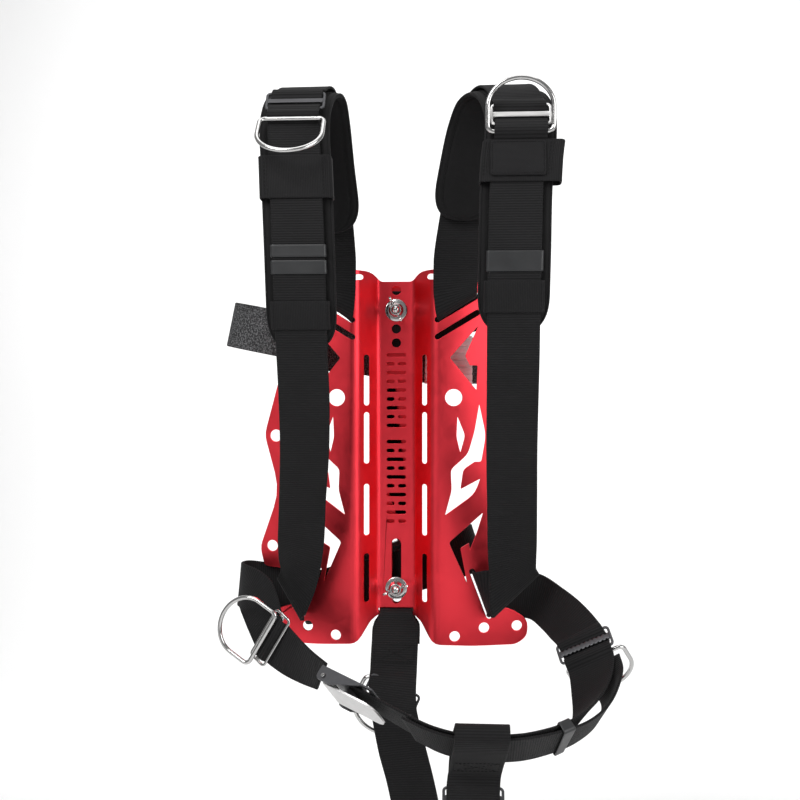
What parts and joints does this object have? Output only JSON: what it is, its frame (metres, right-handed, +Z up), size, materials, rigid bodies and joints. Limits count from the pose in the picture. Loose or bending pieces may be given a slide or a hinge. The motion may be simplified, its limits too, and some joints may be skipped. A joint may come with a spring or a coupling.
{
  "type": "diving backplate harness",
  "caption": "Anodised metal diving backplate with webbing shoulder straps, waist belt with cam buckle, crotch strap, D-rings and tank bands on a rear rail.",
  "frame": {"origin": "rear face of the channel floor, half way up the plate, on its centre line", "axes": "+Z up towards the shoulders, +Y from the wearer's back towards the cylinder, +X to the wearer's left"},
  "size_m": [0.4399, 0.2798, 0.8454],
  "materials": {
    "red_anodised": "satin anodised",
    "stainless": "polished",
    "satin_steel": "satin",
    "dark_steel": "satin",
    "webbing": "ribbed nylon webbing",
    "padding": "laminated neoprene",
    "elastic": "woven elastic",
    "band_webbing": "speckled webbing",
    "grip_rubber": "moulded ribs",
    "black_rubber": "moulded"
  },
  "bodies": {
    "harness": {"backplate": "red_anodised", "adapter_rail": "red_anodised", "upper_bolt": "stainless", "upper_washer": "stainless", "left_shoulder_strap": "webbing", "right_shoulder_strap": "webbing", "left_waist_strap": "webbing", "right_waist_strap": "webbing", "belt_free_end": "webbing", "crotch_strap": "webbing", "crotch_front_loop": "webbing", "upper_tank_band": "band_webbing", "lower_tank_band": "webbing", "left_shoulder_pad": "padding", "right_shoulder_pad": "padding", "left_upper_keeper": "webbing", "right_upper_keeper": "webbing", "left_lower_keeper": "elastic", "right_lower_keeper": "elastic", "label_patch": "elastic", "left_elastic_band": "black_rubber", "right_elastic_band_1": "black_rubber", "right_elastic_band_2": "black_rubber", "belt_keeper": "black_rubber", "left_shoulder_slide": "satin_steel", "right_shoulder_slide": "satin_steel", "left_waist_slide": "dark_steel", "crotch_slide": "dark_steel", "crotch_front_slide": "dark_steel", "right_waist_slide": "stainless", "waist_buckle_frame": "stainless", "waist_buckle_pin": "stainless", "upper_cam_frame": "stainless", "upper_cam_pin": "stainless", "lower_cam_frame": "stainless", "lower_cam_pin": "stainless", "upper_band_grip": "grip_rubber"},
    "upper_nut": {"upper_wing_nut": "stainless"},
    "lower_bolt_set": {"lower_bolt": "stainless", "lower_washer": "stainless", "lower_spacer": "black_rubber"},
    "lower_nut": {"lower_wing_nut": "stainless"},
    "waist_lever": {"waist_buckle_lever": "stainless"},
    "upper_cam_arm": {"upper_cam_lever": "stainless"},
    "lower_cam_arm": {"lower_cam_lever": "stainless"},
    "left_shoulder_d": {"left_shoulder_ring": "stainless"},
    "right_shoulder_d": {"right_shoulder_ring": "stainless"},
    "left_waist_d": {"left_waist_ring": "stainless"},
    "right_waist_d": {"right_waist_ring": "stainless"},
    "crotch_d": {"crotch_ring": "stainless"}
  },
  "joints": [
    {"name": "upper_nut_spin", "type": "hinge", "parent": "harness", "child": "upper_nut", "pos_m": [0, -0.01, 0.156], "axis": [0, -1, 0], "continuous": true},
    {"name": "lower_bolt_slide", "type": "slide", "parent": "harness", "child": "lower_bolt_set", "axis": [0, 0, 1], "range_m": [-0.008, 0.046]},
    {"name": "lower_nut_spin", "type": "hinge", "parent": "lower_bolt_set", "child": "lower_nut", "pos_m": [0, -0.01, -0.143], "axis": [0, -1, 0], "continuous": true},
    {"name": "waist_lever_hinge", "type": "hinge", "parent": "harness", "child": "waist_lever", "pos_m": [-0.05185, -0.1227, -0.22309], "axis": [-0.2791, -0.7177, 0.638], "range_deg": [-100, 0]},
    {"name": "upper_cam_hinge", "type": "hinge", "parent": "harness", "child": "upper_cam_arm", "pos_m": [-0.05855, 0.0704, 0.11724], "axis": [0.2075, 0, 0.9782], "range_deg": [-110, 0]},
    {"name": "lower_cam_hinge", "type": "hinge", "parent": "harness", "child": "lower_cam_arm", "pos_m": [0.00757, 0.0704, -0.12834], "axis": [0.3198, 0, -0.9475], "range_deg": [0, 110]},
    {"name": "left_shoulder_ring_hinge", "type": "hinge", "parent": "harness", "child": "left_shoulder_d", "pos_m": [0.1265, -0.152, 0.311], "axis": [1, 0, 0], "range_deg": [-5, 150]},
    {"name": "right_shoulder_ring_hinge", "type": "hinge", "parent": "harness", "child": "right_shoulder_d", "pos_m": [-0.09, -0.1495, 0.327], "axis": [1, 0, 0], "range_deg": [-150, 20]},
    {"name": "left_waist_ring_hinge", "type": "hinge", "parent": "harness", "child": "left_waist_d", "pos_m": [0.204, -0.069, -0.2], "axis": [0.8878, -0.1211, 0.4439], "range_deg": [-60, 90]},
    {"name": "right_waist_ring_hinge", "type": "hinge", "parent": "harness", "child": "right_waist_d", "pos_m": [-0.1305, -0.086, -0.183], "axis": [0.5103, -0.1276, 0.8505], "range_deg": [-20, 160]},
    {"name": "crotch_ring_hinge", "type": "hinge", "parent": "harness", "child": "crotch_d", "pos_m": [-0.004, -0.0125, -0.249], "axis": [0.8821, 0, -0.4711], "range_deg": [-10, 150]}
  ]
}
